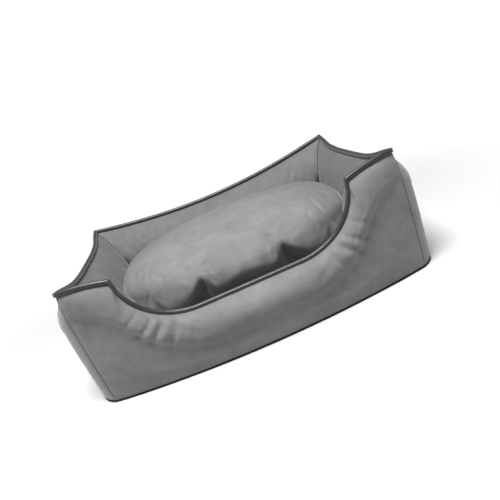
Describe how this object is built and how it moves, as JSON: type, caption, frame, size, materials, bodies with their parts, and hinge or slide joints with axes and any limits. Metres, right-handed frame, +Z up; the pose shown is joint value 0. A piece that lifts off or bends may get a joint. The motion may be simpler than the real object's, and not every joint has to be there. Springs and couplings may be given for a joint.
{
  "type": "dog bed",
  "caption": "Rectangular padded dog bed: stuffed fabric walls with piped rims, raised corner tips and a low front step, round a loose domed cushion.",
  "frame": {"origin": "on the floor, under the middle of the bed's outline", "axes": "+X along the bed, to the right of someone facing the step; +Y from the step to the back wall; +Z up"},
  "size_m": [0.812, 0.586, 0.2677],
  "materials": {
    "cover": "short-pile velvet",
    "piping": "short-pile velvet",
    "base_fabric": "matt, grippy",
    "stuffing": "loose fibre",
    "pad": "felted fibre",
    "zip_tape": "woven",
    "zip_coil": "satin",
    "zip_metal": "satin enamel"
  },
  "bodies": {
    "bed": {"front_bolster": "stuffing", "front_outer_panel": "cover", "front_inner_panel": "cover", "front_piping": "piping", "right_bolster": "stuffing", "right_outer_panel": "cover", "right_inner_panel": "cover", "right_piping": "piping", "back_bolster": "stuffing", "back_outer_panel": "cover", "back_inner_panel": "cover", "back_piping": "piping", "left_bolster": "stuffing", "left_outer_panel": "cover", "left_inner_panel": "cover", "left_piping": "piping", "base_fabric": "base_fabric", "base_pad": "pad", "floor_lining": "cover", "cover_zip_upper_tape": "zip_tape", "cover_zip_lower_tape": "zip_tape", "cover_zip_upper_coil": "zip_coil", "cover_zip_lower_coil": "zip_coil", "cover_zip_closed_stop": "zip_metal", "cover_zip_open_stop": "zip_metal"},
    "cover_slider": {"cover_zip_slider": "zip_metal"},
    "cover_pull": {"cover_zip_pull": "zip_metal"},
    "cushion": {"cushion_fill": "stuffing", "cushion_top_panel": "cover", "cushion_bottom_panel": "cover", "cushion_zip_upper_tape": "zip_tape", "cushion_zip_lower_tape": "zip_tape", "cushion_zip_upper_coil": "zip_coil", "cushion_zip_lower_coil": "zip_coil", "cushion_zip_closed_stop": "zip_metal", "cushion_zip_open_stop": "zip_metal"},
    "cushion_slider": {"cushion_zip_slider": "zip_metal"},
    "cushion_pull": {"cushion_zip_pull": "zip_metal"}
  },
  "joints": [
    {"name": "cover_zip_slide", "type": "slide", "parent": "bed", "child": "cover_slider", "axis": [1, 0, 0], "range_m": [0, 0.287]},
    {"name": "cover_pull_swing", "type": "hinge", "parent": "cover_slider", "child": "cover_pull", "pos_m": [-0.1437, 0.29116, 0.02348], "axis": [0, 0.1122, 0.9937], "range_deg": [0, 170]},
    {"name": "cushion_lift", "type": "slide", "parent": "bed", "child": "cushion", "axis": [0, 0, 1], "range_m": [0, 0.3]},
    {"name": "cushion_zip_slide", "type": "slide", "parent": "cushion", "child": "cushion_slider", "axis": [1, 0, 0], "range_m": [0, 0.307]},
    {"name": "cushion_pull_swing", "type": "hinge", "parent": "cushion_slider", "child": "cushion_pull", "pos_m": [-0.1537, 0.15671, 0.02615], "axis": [0, 0.3989, 0.917], "range_deg": [0, 170]}
  ]
}
